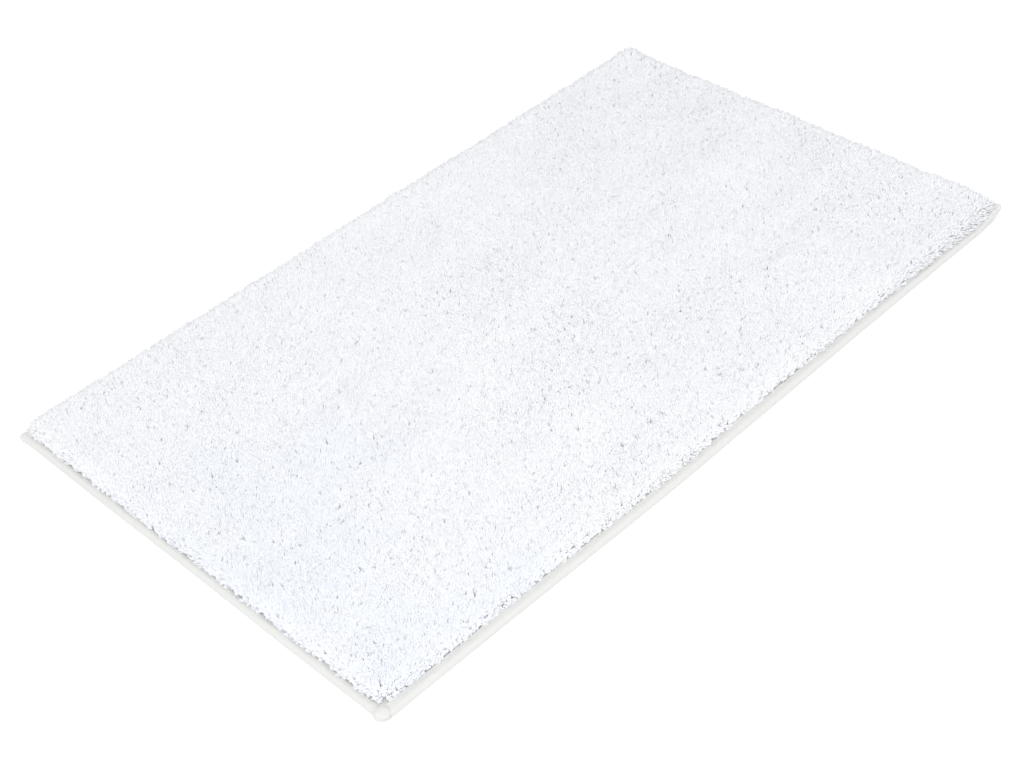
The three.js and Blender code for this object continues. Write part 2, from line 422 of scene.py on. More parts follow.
# %% Binding tape
def woven_height(tree, weave_map, warp_pitch, weft_pitch):
    """The height of a plain weave, from a map in metres along and across it."""
    place = add(tree, "UVMap", uv_map=weave_map).outputs["UV"]
    warp = add(tree, "TexWave", {"Vector": place, "Scale": WAVE / warp_pitch, "Distortion": 0.6},
               wave_type="BANDS", bands_direction="Y")
    weft = add(tree, "TexWave", {"Vector": place, "Scale": WAVE / weft_pitch, "Distortion": 0.6},
               wave_type="BANDS", bands_direction="X")
    return product(tree, warp.outputs["Fac"], weft.outputs["Fac"])


def tape_cloth():
    """A soft off-white weave, a little mottled, with painted shade between its threads."""
    material, tree, shader = new_finish("woven binding tape", 0.9, sheen=0.2)
    place = add(tree, "TexCoord").outputs["Object"]
    mottle = add(tree, "TexNoise", {"Vector": place, "Scale": 90.0, "Detail": 4.0})
    weave = woven_height(tree, "weave", 0.7 * MM, 0.9 * MM)
    base = blend_colour(tree, mottle.outputs["Fac"], (0.72, 0.723, 0.70, 1), (0.76, 0.762, 0.74, 1))
    # painted shade: the weave's low places, between the threads, are painted darker
    shaded = blend_colour(tree, weave, (0.705, 0.707, 0.68, 1), base)
    bump = add(tree, "Bump", {"Height": weave, "Strength": 0.5, "Distance": 0.12 * MM})
    soft = add(tree, "Bump", {"Height": mottle.outputs["Fac"], "Strength": 0.4, "Distance": 0.4 * MM,
                              "Normal": bump.outputs["Normal"]})
    wear(tree, shader, shaded, soft)
    return material


TAPE_CLOTH = tape_cloth()
print(TAPE_CLOTH.name, "has", len(TAPE_CLOTH.node_tree.nodes), "nodes")

# %% [markdown]
# Sewing thread is spun from plies that wind round it. Waves that run slantwise over the
# thread's own map look like those plies.

# %% Sewing thread
def sewing_thread():
    """Off-white thread with its plies showing, and painted shade in the grooves between them."""
    material, tree, shader = new_finish("spun sewing thread", 0.6)
    place = add(tree, "UVMap", uv_map="weave").outputs["UV"]
    ply = add(tree, "TexWave", {"Vector": place, "Scale": WAVE / (0.35 * MM), "Distortion": 0.3},
              wave_type="BANDS", bands_direction="DIAGONAL")
    # painted shade: the grooves between the plies are painted darker
    colour = blend_colour(tree, ply.outputs["Fac"], (0.82, 0.82, 0.79, 1), (0.93, 0.93, 0.91, 1))
    bump = add(tree, "Bump", {"Height": ply.outputs["Fac"], "Strength": 0.6, "Distance": 0.08 * MM})
    wear(tree, shader, colour, bump)
    return material


THREAD = sewing_thread()
print(THREAD.name, "has", len(THREAD.node_tree.nodes), "nodes")

# %% [markdown]
# The cloth that holds the tufts is a coarse, open weave. It is flat, so its two waves can follow
# the room's own axes and it needs no map.

# %% Backing cloth
def backing_cloth():
    """A coarse plain weave, with painted shade between its threads."""
    material, tree, shader = new_finish("woven backing cloth", 0.95)
    place = add(tree, "TexCoord").outputs["Object"]
    warp = add(tree, "TexWave", {"Vector": place, "Scale": WAVE / (1.2 * MM)}, bands_direction="Y")
    weft = add(tree, "TexWave", {"Vector": place, "Scale": WAVE / (1.6 * MM)}, bands_direction="X")
    weave = product(tree, warp.outputs["Fac"], weft.outputs["Fac"])
    # painted shade: the weave's low places, between the threads, are painted darker
    colour = blend_colour(tree, weave, (0.72, 0.72, 0.70, 1), (0.86, 0.85, 0.82, 1))
    bump = add(tree, "Bump", {"Height": weave, "Strength": 0.7, "Distance": 0.3 * MM})
    wear(tree, shader, colour, bump)
    return material


CLOTH = backing_cloth()
print(CLOTH.name, "has", len(CLOTH.node_tree.nodes), "nodes")

# %% [markdown]
# Latex and rubber are both spread on wet and then dried in an oven. One recipe serves for both,
# with its own tones, grain and gloss for each.

# %% Latex and rubber
def poured_rubber(name, dull, bright, grain, depth, roughness):
    """A soft coat that was spread wet: a fine grain over slow drifts of tone."""
    material, tree, shader = new_finish(name, roughness)
    place = add(tree, "TexCoord").outputs["Object"]
    drift = add(tree, "TexNoise", {"Vector": place, "Scale": 14.0, "Detail": 5.0})
    pebble = add(tree, "TexNoise", {"Vector": place, "Scale": 1 / grain, "Detail": 3.0})
    colour = blend_colour(tree, drift.outputs["Fac"], dull, bright)
    bump = add(tree, "Bump", {"Height": pebble.outputs["Fac"], "Strength": 0.5, "Distance": depth})
    wear(tree, shader, colour, bump)
    return material


LATEX = poured_rubber("dried latex", dull=(0.78, 0.75, 0.66, 1), bright=(0.86, 0.83, 0.76, 1),
                      grain=0.9 * MM, depth=0.2 * MM, roughness=0.7)
RUBBER = poured_rubber("anti-slip rubber", dull=(0.82, 0.82, 0.80, 1), bright=(0.88, 0.88, 0.865, 1),
                       grain=0.6 * MM, depth=0.1 * MM, roughness=0.55)
print("coats:", LATEX.name, "and", RUBBER.name)

# %% [markdown]
# The label is satin ribbon. Its long floating threads make it smoother and shinier than the
# tape, and they show as very fine ribs.

# %% Satin
def satin():
    """White ribbon with fine ribs, and painted shade between them."""
    material, tree, shader = new_finish("label satin", 0.38, sheen=0.3)
    place = add(tree, "TexCoord").outputs["Object"]
    ribs = add(tree, "TexWave", {"Vector": place, "Scale": WAVE / (0.5 * MM), "Distortion": 0.4},
               bands_direction="X")
    # painted shade: the low places between the ribs are painted darker
    colour = blend_colour(tree, ribs.outputs["Fac"], (0.88, 0.88, 0.88, 1), (0.95, 0.95, 0.95, 1))
    bump = add(tree, "Bump", {"Height": ribs.outputs["Fac"], "Strength": 0.3, "Distance": 0.05 * MM})
    wear(tree, shader, colour, bump)
    return material


SATIN = satin()
print(SATIN.name, "has", len(SATIN.node_tree.nodes), "nodes")

# %% [markdown]
# ## The two inner layers
#
# The cloth that the tufts are stitched through and the latex film below it are shut in between
# the coat, the pile and the tapes. Each is a thin slab, cut into a grid fine enough to bend with
# the curled corner.

# %% Cloth and latex
GRID_STEP = 12 * MM


def slab(low, high):
    """Points and faces of a closed box whose top and bottom are grids."""
    columns = int((high.x - low.x) / GRID_STEP) + 1
    rows = int((high.y - low.y) / GRID_STEP) + 1
    x, y = np.meshgrid(np.linspace(low.x, high.x, columns), np.linspace(low.y, high.y, rows))
    sheet = np.stack([x.ravel(), y.ravel()], 1)
    top = np.column_stack([sheet, np.full(len(sheet), high.z)])
    bottom = np.column_stack([sheet, np.full(len(sheet), low.z)])
    up = ring_faces(rows, columns, closed=False)
    down = up[:, ::-1] + len(sheet)
    rim = border_of(np.arange(len(sheet)).reshape(rows, columns))
    after = np.roll(rim, -1)
    sides = np.stack([rim + len(sheet), after + len(sheet), after, rim], 1)
    return np.concatenate([top, bottom]), np.concatenate([up, down, sides])


for node, low, high, finish, slot in (
    ("primary_backing", cloth_low, cloth_high, CLOTH, "backing_cloth"),
    ("latex_precoat", latex_low, latex_high, LATEX, "latex"),
):
    points, faces = slab(low, high)
    layer = make_piece(node + "_layer", points, faces, finish, [node])
    print(layer.name, "has", len(faces), "faces")

# %% [markdown]
# ## The anti-slip coat
#
# The rubber is spread over the back and moulded into small round dots that grip the floor. One
# dot with the square of sheet around it is made once, in rings of eight points. It is then set
# down again and again over the whole back, with neighbouring squares sharing their border
# points, so that the coat is one closed skin and not thousands of loose beads.

# %% Coat with moulded dots
DOT_PITCH = 15.5 * MM
DOT_RINGS = (  # radius of each ring, and how far it stands out of the sheet as a share
    (3.3 * MM, 0.0),
    (2.9 * MM, 0.55),
    (2.2 * MM, 0.92),
    (1.2 * MM, 1.0),
)
SHEET_BOTTOM = 1.9 * MM
RIM_BOTTOM = 2.3 * MM
RIM_REACH = 13.2 * MM
DOT_SIDES = 8
LABEL_CLEARANCE = 2 * MM


def from_edge(x, y):
    """How far in from the mat's nearest edge a place is."""
    return np.minimum(HALF_LENGTH - np.abs(x), HALF_WIDTH - np.abs(y))


def underside(x, y):
    """The height of the sheet's lower face: a little more over the tapes' flaps."""
    return np.where(from_edge(x, y) < RIM_REACH, RIM_BOTTOM, SHEET_BOTTOM)


def dot_share(x, y):
    """1 where there is a dot. There is none over the tapes' flaps or behind the label."""
    label_middle = (label_low.x + label_high.x) / 2
    label_half = (label_high.x - label_low.x) / 2 + LABEL_CLEARANCE
    behind_label = (np.abs(x - label_middle) < label_half) & (y < label_high.y + LABEL_CLEARANCE)
    clear_of_flaps = from_edge(x, y) > RIM_REACH + DOT_RINGS[0][0]
    return np.where(clear_of_flaps & ~behind_label, 1.0, 0.0)


def coat():
    """Points and faces of the coat, and how many dots it has."""
    low, high = coat_low, coat_high
    columns = round((high.x - low.x) / DOT_PITCH)
    rows = round((high.y - low.y) / DOT_PITCH)
    # A lattice with two steps a dot: even places are corners and edge middles of the squares.
    xs = np.linspace(low.x, high.x, 2 * columns + 1)
    ys = np.linspace(low.y, high.y, 2 * rows + 1)
    number = np.full((2 * rows + 1, 2 * columns + 1), -1)
    row, column = np.indices(number.shape)
    kept = ~((row % 2 == 1) & (column % 2 == 1))
    number[kept] = np.arange(kept.sum())
    flat_x, flat_y = xs[column[kept]], ys[row[kept]]
    under = np.column_stack([flat_x, flat_y, underside(flat_x, flat_y)])
    # Points round each square, in turn, starting at its right-hand middle
    r, c = np.meshgrid(np.arange(rows) * 2 + 1, np.arange(columns) * 2 + 1, indexing="ij")
    r, c = r.ravel(), c.ravel()
    turn = ((0, 1), (1, 1), (1, 0), (1, -1), (0, -1), (-1, -1), (-1, 0), (-1, 1))
    border = np.stack([number[r + dr, c + dc] for dr, dc in turn], 1)
    has_dot = dot_share(xs[c], ys[r])[:, None]
    angle = np.arange(DOT_SIDES) * 2 * math.pi / DOT_SIDES
    points = [under]
    faces = []
    previous = border
    total = len(under)
    for radius, share in DOT_RINGS:
        ring_x = xs[c][:, None] + radius * np.cos(angle)
        ring_y = ys[r][:, None] + radius * np.sin(angle)
        sheet = underside(ring_x, ring_y)
        ring = np.stack([ring_x, ring_y, sheet * (1 - share * has_dot)], -1).reshape(-1, 3)
        here = total + np.arange(len(ring)).reshape(-1, DOT_SIDES)
        points.append(ring)
        corners = [previous, here, np.roll(here, -1, 1), np.roll(previous, -1, 1)]
        faces.append(np.stack(corners, -1).reshape(-1, 4))
        previous = here
        total += len(ring)
    # Each dot's flat end is two rows of two and one more pair: three four-sided faces
    for a, b, d, e in ((0, 7, 2, 1), (7, 6, 3, 2), (6, 5, 4, 3)):
        faces.append(previous[:, [a, b, d, e]])
    # The upper face is a plain grid of the same outline, and the rim joins the two
    gx, gy = np.meshgrid(xs, ys)
    points.append(np.column_stack([gx.ravel(), gy.ravel(), np.full(number.size, high.z)]))
    faces.append(ring_faces(2 * rows + 1, 2 * columns + 1, closed=False) + total)
    edge_under = border_of(number)
    edge_top = border_of(np.arange(number.size).reshape(number.shape)) + total
    faces.append(np.stack([edge_under, np.roll(edge_under, -1), np.roll(edge_top, -1), edge_top], 1))
    return np.concatenate(points), np.concatenate(faces), int(has_dot.sum())


points, faces, dots = coat()
make_piece("anti_slip_coat", points, faces, RUBBER, ["anti_slip_backing"])
print("the coat has", dots, "dots and", len(faces), "faces")

# %% [markdown]
# ## The binding tapes
#
# Each tape is a strip of soft cloth folded over the mat's edge, with its raw edges turned in. It
# could be an extruded outline, but then every millimetre of it would be the same. Here the
# outline is swept along the side in small steps, and at each step the cloth may bulge, pull in
# and pucker a little, as it does between the stitches of a real seam.

# %% The fold, seen from its end
TAPE = 0.9 * MM
HALF_TAPE = TAPE / 2
FLAP_OVER = {"front": 11.5 * MM, "back": 11.5 * MM, "left": 8.6 * MM, "right": 8.6 * MM}
FLAP_UNDER = 13 * MM
SEAM_INSET = 2 * MM
SEAM_WIDTH = 0.9 * MM
SEAM_SINKS_OVER = 0.2 * MM
SEAM_SINKS_UNDER = 0.45 * MM


def arc(centre, radius, start, end, steps):
    """Points on an arc, from one angle in degrees to another."""
    angle = np.radians(np.linspace(start, end, steps))
    return np.stack([centre[0] + radius * np.cos(angle), centre[1] + radius * np.sin(angle)], 1)


def thicken(middle, half):
    """The closed outline of a strip, from its middle line: one face's points, then the other's."""
    step = np.gradient(middle, axis=0)
    normal = np.stack([-step[:, 1], step[:, 0]], 1) / np.linalg.norm(step, axis=1)[:, None]
    return np.concatenate([middle + half * normal, (middle - half * normal)[::-1]])


TAPE_OUTSET = 0.5 * MM
FLOOR_FLATTENS = 0.55  # under 1, the lower half of the fold is squarer than a circle
LAYER_GAP = 0.05 * MM
CLOTH_GAP = 0.1 * MM
BEND_LEAD = 0.4 * MM  # the flat stretches stop this far before a bend
TUCKED_TO = 5.5 * MM  # how near the outer edge the turned-in cloth ends
SHOULDER = 2.2 * MM
SHOULDER_DROP = 0.25 * MM


def fold_arc(centre, radius):
    """The outer fold: a half circle above, squarer below where the mat's weight presses it."""
    points = arc((0, 0), 1, 80, 280, 19)
    power = np.where(points[:, 1] < 0, FLOOR_FLATTENS, 1)[:, None]
    return np.array(centre) + radius * np.sign(points) * np.abs(points) ** power


def folded_outline(side):
    """The closed outline of the folded cloth, in distance from the outer edge and height."""
    fold = HALF_TAPE + LAYER_GAP
    over = FLAP_OVER[side] - fold - HALF_TAPE
    under = FLAP_UNDER - fold - HALF_TAPE
    over_low = cloth_high.z + HALF_TAPE + CLOTH_GAP
    under_low = HALF_TAPE
    roll = EDGE_HEIGHT / 2 - HALF_TAPE
    shoulder = roll + SHOULDER
    shoulder_height = EDGE_HEIGHT - HALF_TAPE - SHOULDER_DROP
    middle = np.concatenate([
        np.linspace((TUCKED_TO, over_low), (over - BEND_LEAD, over_low), 6),
        arc((over, over_low + fold), fold, -90, 90, 7),
        np.linspace((over - BEND_LEAD, over_low + 2 * fold), (shoulder, shoulder_height), 12),
        fold_arc((roll + HALF_TAPE - TAPE_OUTSET, EDGE_HEIGHT / 2), roll),
        np.linspace((shoulder, under_low), (under - BEND_LEAD, under_low), 12),
        arc((under, under_low + fold), fold, -90, 90, 7),
        np.linspace((under - BEND_LEAD, under_low + 2 * fold), (TUCKED_TO, under_low + 2 * fold), 8),
    ])
    # The seam pulls the outer layers in, so that its stitches lie in a shallow channel
    inward, height = middle.T
    seam = np.exp(-((inward - (FLAP_OVER[side] - SEAM_INSET)) / SEAM_WIDTH) ** 2)
    pulled = np.select([height > over_low + fold, height < cloth_low.z],
                       [-SEAM_SINKS_OVER, SEAM_SINKS_UNDER], 0)
    middle[:, 1] += pulled * seam
    return thicken(middle, HALF_TAPE)


print("a long side's fold has", len(folded_outline("front")), "points round it")

# %% [markdown]
# The outline now travels along a side. The long tapes' ends are pressed thin, because they lie
# inside the short tapes' folds, and the short tapes swell there and close towards their ends.

# %% Sweep it along a side
SWEEP_STEP = 1.6 * MM
PUCKER = 0.45 * MM
RIPPLE = 0.16 * MM
SCALLOP = 0.8 * MM


def side_frame(side, along, inward, height):
    """World points from places along a side, distances in from its outer edge and heights."""
    if side == "front":
        return np.stack([along, -HALF_WIDTH + inward, height], -1)
    if side == "back":
        return np.stack([-along, HALF_WIDTH - inward, height], -1)
    if side == "left":
        return np.stack([-HALF_LENGTH + inward, -along, height], -1)
    return np.stack([HALF_LENGTH - inward, along, height], -1)


def pucker(along, inward, height, seed):
    """How far the cloth bulges out of the straight fold: inwards and upwards."""
    waves = PUCKER * hills(along, 9 * height, 22 * MM, seed)
    ripples = RIPPLE * hills(along + 1.5 * inward, 3 * height, 5 * MM, seed + 1)
    outer = ease((6.5 * MM - inward) / (4 * MM))
    top = ease((height - 5 * MM) / (2 * MM))
    flap = ease((inward - 7 * MM) / (2 * MM))
    scallop = SCALLOP * hills(along, 0 * along, 12 * MM, seed + 2) * flap * top
    return -(waves + ripples) * outer * ease(height / (3 * MM)) + scallop, (0.5 * waves + ripples) * top


LAP_START = HALF_LENGTH - 14 * MM
LAP_RUN = 5 * MM
PRESSED_SHARE = 0.66  # how much of its height a pressed end keeps
PRESSED_LIFT = 1.3 * MM
PRESSED_IN = 0.8 * MM
FOLD_REACH = 6 * MM


def press_into_lap(side, along, inward, height):
    """The ends of the long tapes are pressed thin inside the short tapes' folds."""
    pressed = ease((np.abs(along) - LAP_START) / LAP_RUN)
    return (inward + PRESSED_IN * pressed * (inward < FOLD_REACH),
            height * (1 - pressed * (1 - PRESSED_SHARE)) + pressed * PRESSED_LIFT)


SWELL_START = HALF_WIDTH - 17 * MM
SWELL_RUN = 8 * MM
CLOSING_START = CORNER_REACH - 11 * MM
CLOSING_RUN = 6 * MM
LOWEST = 0.05 * MM  # nothing of the tape goes below this height
NUB_MIDDLE = (6.3 * MM, EDGE_HEIGHT * 0.62)  # inward and up


def nub_size(side, along):
    """The folded end at the front left corner is fatter than the other three."""
    return np.where((side == "left") & (along > 0), 1.0, 0.5)


def swell_at_corners(side, along, inward, height):
    """The short tapes go over the ends of the long ones, so they are fatter there."""
    lap = ease((np.abs(along) - SWELL_START) / SWELL_RUN) * nub_size(side, along)
    tall = height * (1 + 0.22 * lap)
    wide = inward * (1 + 0.32 * lap) - 2.4 * MM * lap**2
    closing = ease((np.abs(along) - CLOSING_START) / CLOSING_RUN)
    share = 1 - 0.3 * closing
    return (NUB_MIDDLE[0] + (wide - NUB_MIDDLE[0]) * share,
            np.maximum(NUB_MIDDLE[1] + (tall - NUB_MIDDLE[1]) * share, LOWEST))


# How far each side's tape reaches from its middle
SIDES = {"front": HALF_LENGTH - 2 * MM, "back": HALF_LENGTH - 2 * MM,
         "left": CORNER_REACH - 5 * MM, "right": CORNER_REACH - 5 * MM}
SEEDS = {"front": 200, "back": 210, "left": 220, "right": 230}


def lay_on_side(side, along, inward, height):
    """Straight design places on a side's fold, moved to where the puckered cloth has them."""
    shift_in, shift_up = pucker(along, inward, height, SEEDS[side])
    shape = press_into_lap if side in ("front", "back") else swell_at_corners
    inward, height = shape(side, along, inward + shift_in, height + shift_up)
    return side_frame(side, along, inward, height)


def swept_tape(side):
    """Points and faces of one side's tape, its outline, and where along the side it was set."""
    outline = folded_outline(side)
    steps = int(2 * SIDES[side] / SWEEP_STEP) + 1
    along = np.repeat(np.linspace(-SIDES[side], SIDES[side], steps)[:, None], len(outline), 1)
    grid = lay_on_side(side, along, outline[None, :, 0] + 0 * along, outline[None, :, 1] + 0 * along)
    return grid.reshape(-1, 3), strip_faces(steps, len(outline)), outline, along[:, 0]


print("a tape has a ring of points every", SWEEP_STEP / MM, "mm")

# %% [markdown]
# At the mat's corners the ends of the short tapes are tucked into their own folds. Each tucked
# end is a small wad of cloth: a rounded lump with a crease across it, part of the same piece.

# %% The tucked ends of the short tapes
NUB_RINGS = 11
NUB_SIDES = 20
NUB_RADII = (8.0 * MM, 7.9 * MM, EDGE_HEIGHT * 0.63)  # along, inward, up
NUB_REACH = CORNER_REACH - 2 * MM
NUB_POLE = 0.12  # in radians, how far from the wad's poles its first and last rings are
NUB_OUTSET = 0.7 * MM
NUB_LIFT = 0.2 * MM
BLUNT = 0.8  # under 1, the wad is squarer than an egg


def tucked_end(side, end, seed):
    """Points and faces of the wad at one end (-1 or 1) of a short tape."""
    polar = np.clip(np.linspace(0, math.pi, NUB_RINGS)[:, None], NUB_POLE, math.pi - NUB_POLE)
    turn = np.arange(NUB_SIDES) * 2 * math.pi / NUB_SIDES
    squarish = np.sign(np.sin(turn)) * np.abs(np.sin(turn)) ** BLUNT
    lumps = 1 + 0.05 * hills(4 * turn + 0 * polar, 3 * polar, 1.3, seed)
    crease = 1 - 0.16 * np.exp(-(squarish / 0.2) ** 2) * (np.cos(polar) > 0.1)
    size = 0.64 + 0.36 * nub_size(side, end)
    along = end * (NUB_REACH - NUB_RADII[0] * (size - np.cos(polar) * crease * size)) + 0 * turn
    blunt = np.sin(polar) ** BLUNT
    inward = size * NUB_MIDDLE[0] - NUB_OUTSET + size * NUB_RADII[1] * blunt * np.cos(turn) * lumps
    height = size * (NUB_MIDDLE[1] + NUB_LIFT + NUB_RADII[2] * blunt * squarish * lumps)
    grid = side_frame(side, along, inward, np.maximum(height, LOWEST))
    faces = strip_faces(NUB_RINGS, NUB_SIDES)
    return grid.reshape(-1, 3), faces if end < 0 else faces[:, ::-1]


def across_outline(outline):
    """The distance round an outline at each of its points."""
    return np.concatenate([[0], np.cumsum(np.linalg.norm(np.diff(outline, axis=0), axis=1))])


for side in SIDES:
    points, faces, outline, along = swept_tape(side)
    around = across_outline(outline)
    place = np.stack([np.repeat(along, len(outline)), np.tile(around, len(along))], 1)
    if side in ("left", "right"):
        for end in (-1, 1):
            wad, wad_faces = tucked_end(side, end, SEEDS[side] + 5 + end)
            faces = np.concatenate([faces, wad_faces + len(points)])
            points = np.concatenate([points, wad])
            place = np.concatenate([place, wad[:, [1, 2]]])
    tape = make_piece(f"tape_{side}", points, faces, TAPE_CLOTH, [f"binding_tape_{side}"])
    add_map(tape, "weave", place)

# %% [markdown]
# ## The seams
#
# A lockstitch shows one thread on each face. Between the needle holes it lies on the cloth, and
# at each hole it dives in, where the needle thread and the bobbin thread lock. Each seam's thread
# is one long tube that rises and dives once a stitch, in the channel that the seam has pulled.

# %% Sew the tapes on
STITCH = 3.6 * MM
THREAD_RADIUS = 0.24 * MM
THREAD_SIDES = 6
POINTS_PER_STITCH = 6
SEAM_STOPS = 9 * MM  # a seam ends this far before its tape does
DIVE = 0.42 * MM
SAG = 0.12 * MM


def sewn_thread(side, face):
    """Points, faces and weave places of the thread on one face, 'over' or 'under', of a side."""
    half = SIDES[side] - SEAM_STOPS
    stitches = int(2 * half / STITCH)
    phase = np.arange(stitches * POINTS_PER_STITCH + 1) / POINTS_PER_STITCH
    along = -half + phase * STITCH
    dive = DIVE * (1 - np.sin(math.pi * (phase % 1)) ** 0.5)
    sag = SAG * hills(along, 0 * along, 9 * MM, SEEDS[side] + 7)
    seam = FLAP_OVER[side] - SEAM_INSET + sag
    if face == "over":
        surface = cloth_high.z + 2 * TAPE + CLOTH_GAP
        height = surface + THREAD_RADIUS - dive
    else:
        height = THREAD_RADIUS + dive + 0 * along
    turn = np.arange(THREAD_SIDES) * 2 * math.pi / THREAD_SIDES
    grid = lay_on_side(side, along[:, None] + 0 * turn,
                       seam[:, None] + THREAD_RADIUS * np.cos(turn),
                       height[:, None] + THREAD_RADIUS * np.sin(turn))
    grid[..., 2] = np.maximum(grid[..., 2], 0)
    rings = len(along)
    place = np.stack([np.repeat(along, THREAD_SIDES), np.tile(THREAD_RADIUS * turn, rings)], 1)
    return grid.reshape(-1, 3), strip_faces(rings, THREAD_SIDES), place, stitches


for side in SIDES:
    for face, thread in (("over", "needle_thread"), ("under", "bobbin_thread")):
        points, faces, place, stitches = sewn_thread(side, face)
        stitching = make_piece(f"{thread}_stitches_{side}", points, faces, THREAD,
                               [f"{thread}_{side}"])
        add_map(stitching, "weave", place)
    print(side, "seam:", stitches, "stitches on each face")

# %% [markdown]
# ## The care label
#
# A loop of thin satin ribbon is caught in the front seam and lies flat under the mat. Real labels
# carry washing signs. This one is left blank.

# %% Care label
RIBBON = 0.22 * MM
CAUGHT_HIGH = 2.12 * MM  # height of the loop's upper layer where the seam holds it
CAUGHT_LOW = CAUGHT_HIGH - 1.5 * RIBBON
LOOP_LOW = 1.15 * MM
LOOP_HIGH = LOOP_LOW + 2 * RIBBON
LOOP_STARTS = FLAP_UNDER + 3 * MM
LABEL_WAVE = 0.25 * MM
LABEL_STEPS = 17


def label_loop():
    """The loop's middle line, in distance from the mat's front edge and height."""
    held = label_low.y + HALF_WIDTH
    tip = label_high.y + HALF_WIDTH
    bend = tip - 1 * MM
    return np.concatenate([
        np.linspace((held, CAUGHT_HIGH), (FLAP_UNDER, CAUGHT_HIGH), 5),
        np.linspace((LOOP_STARTS, LOOP_HIGH), (bend, LOOP_HIGH), 9),
        arc((tip - RIBBON, (LOOP_LOW + LOOP_HIGH) / 2), (LOOP_HIGH - LOOP_LOW) / 2, 60, -60, 4),
        np.linspace((bend, LOOP_LOW), (LOOP_STARTS, LOOP_LOW), 9),
        np.linspace((FLAP_UNDER, CAUGHT_LOW), (held, CAUGHT_LOW), 5),
    ])


loop_outline = thicken(label_loop(), RIBBON / 2)
across = np.linspace(label_low.x, label_high.x, LABEL_STEPS)
x = np.repeat(across[:, None], len(loop_outline), 1)
y = np.repeat(loop_outline[None, :, 0], LABEL_STEPS, 0)
z = np.repeat(loop_outline[None, :, 1], LABEL_STEPS, 0)
z = z + LABEL_WAVE * hills(x, y, 17 * MM, 260) * ease((y - FLAP_UNDER) / (12 * MM))
points = side_frame("front", x, y, z).reshape(-1, 3)
faces = strip_faces(LABEL_STEPS, len(loop_outline))
label = make_piece("satin_label", points, faces, SATIN, ["care_label"])

# %% [markdown]
# ## The pile
#
# Each tuft is a bundle of yarn ends that stand together at the cloth and splay at the tip. A
# hair system could grow them, but its strands are drawn only at render time. Here each yarn end
# is a slim closed spindle, thin at the foot, fullest near the top and rounded off at the tip, so
# the pile is solid geometry that shades and exports like everything else.

# %% Where the tufts stand
GAUGE = 4.2 * MM
ENDS_PER_TUFT = 9
TIP_HEIGHT = pile_high.z + 0.3 * MM
ROOT_HEIGHT = cloth_high.z + 0.1 * MM
FIELD_CORNER = 5 * MM
NEAR_CORNER = 17 * MM  # the front left corner is rounder than the others
FAN_CORNER = 16 * MM
FIELD_GAP = 1.0 * MM  # between the outermost tufts and the tapes' flaps
SCATTER = 0.4 * MM
OUTLINE_SLACK = 0.3 * MM
field_x = HALF_LENGTH - FLAP_OVER["left"] - FIELD_GAP
field_y = HALF_WIDTH - FLAP_OVER["front"] - FIELD_GAP

rng = np.random.default_rng(11)
columns = int(2 * field_x / GAUGE)
rows = int(2 * field_y / GAUGE)
col, row = np.meshgrid(np.arange(columns + 1), np.arange(rows + 1))
tuft_x = (-field_x + (col + 0.5 * (row % 2)) * GAUGE).ravel()
tuft_y = (-field_y + row * GAUGE).ravel()


def inside_field(x, y):
    """Distance in from the field's rounded outline, and the unit direction in which tufts fan."""
    rounding = np.where((x < 0) & (y < 0), NEAR_CORNER, FIELD_CORNER)
    over_x = np.abs(x) - (field_x - rounding)
    over_y = np.abs(y) - (field_y - rounding)
    corner = (over_x > 0) & (over_y > 0)
    reach = np.where(corner, np.hypot(over_x, over_y), np.maximum(over_x, over_y))
    fan_x = np.abs(x) - (field_x - FAN_CORNER)
    fan_y = np.abs(y) - (field_y - FAN_CORNER)
    turning = (fan_x > 0) & (fan_y > 0)
    out_x = np.where(turning, fan_x, fan_x > fan_y) * np.sign(x)
    out_y = np.where(turning, fan_y, fan_y >= fan_x) * np.sign(y)
    size = np.maximum(np.hypot(out_x, out_y), 1e-9)
    return rounding - reach, out_x / size, out_y / size


# Along the outline there are twice as many tufts, because there they have to spread out
BORDER = 9 * MM
border = inside_field(tuft_x, tuft_y)[0] < BORDER
tuft_x = np.concatenate([tuft_x, tuft_x[border] + 0.5 * GAUGE])
tuft_y = np.concatenate([tuft_y, tuft_y[border] + 0.45 * GAUGE])

tuft_x = tuft_x + rng.normal(0, SCATTER, len(tuft_x))
tuft_y = tuft_y + rng.normal(0, SCATTER, len(tuft_y))
depth, out_x, out_y = inside_field(tuft_x, tuft_y)
kept = depth >= -OUTLINE_SLACK
tuft_x, tuft_y = tuft_x[kept], tuft_y[kept]
depth, out_x, out_y = depth[kept], out_x[kept], out_y[kept]
print("tufts:", len(tuft_x))

# %% [markdown]
# Tufts lean. Hands and feet brush the pile into broad soft strokes, and neighbours cling together
# in small clumps with gaps between them. In one place the pile has parted along a short crease.
# The outermost tufts have nothing beside them, so they fan out over the tape, and they were
# sheared shorter, which rounds off the edge of the pile.

# %% How the tufts lean
CLUMP = 9 * MM
CLING = 0.17
STROKE = math.radians(3)
STROKE_LEAN = 1.4 * MM
LEAN_WAY = STROKE + 0.7
RANDOM_LEAN = 0.5 * MM


def clump_centres(x, y):
    """The nearest clump centre to each place, from a jittered grid of centres."""
    i, j = np.floor(x / CLUMP).astype(int), np.floor(y / CLUMP).astype(int)
    jitter = np.random.default_rng(5).uniform(0.1, 0.9, (LATTICE, LATTICE, 2))
    best = np.full(len(x), np.inf)
    near_x, near_y = x.copy(), y.copy()
    for di in (-1, 0, 1):
        for dj in (-1, 0, 1):
            offset = jitter[(i + di) % LATTICE, (j + dj) % LATTICE]
            cx = (i + di + offset[:, 0]) * CLUMP
            cy = (j + dj + offset[:, 1]) * CLUMP
            away = np.hypot(cx - x, cy - y)
            closer = away < best
            best[closer], near_x[closer], near_y[closer] = away[closer], cx[closer], cy[closer]
    return near_x, near_y


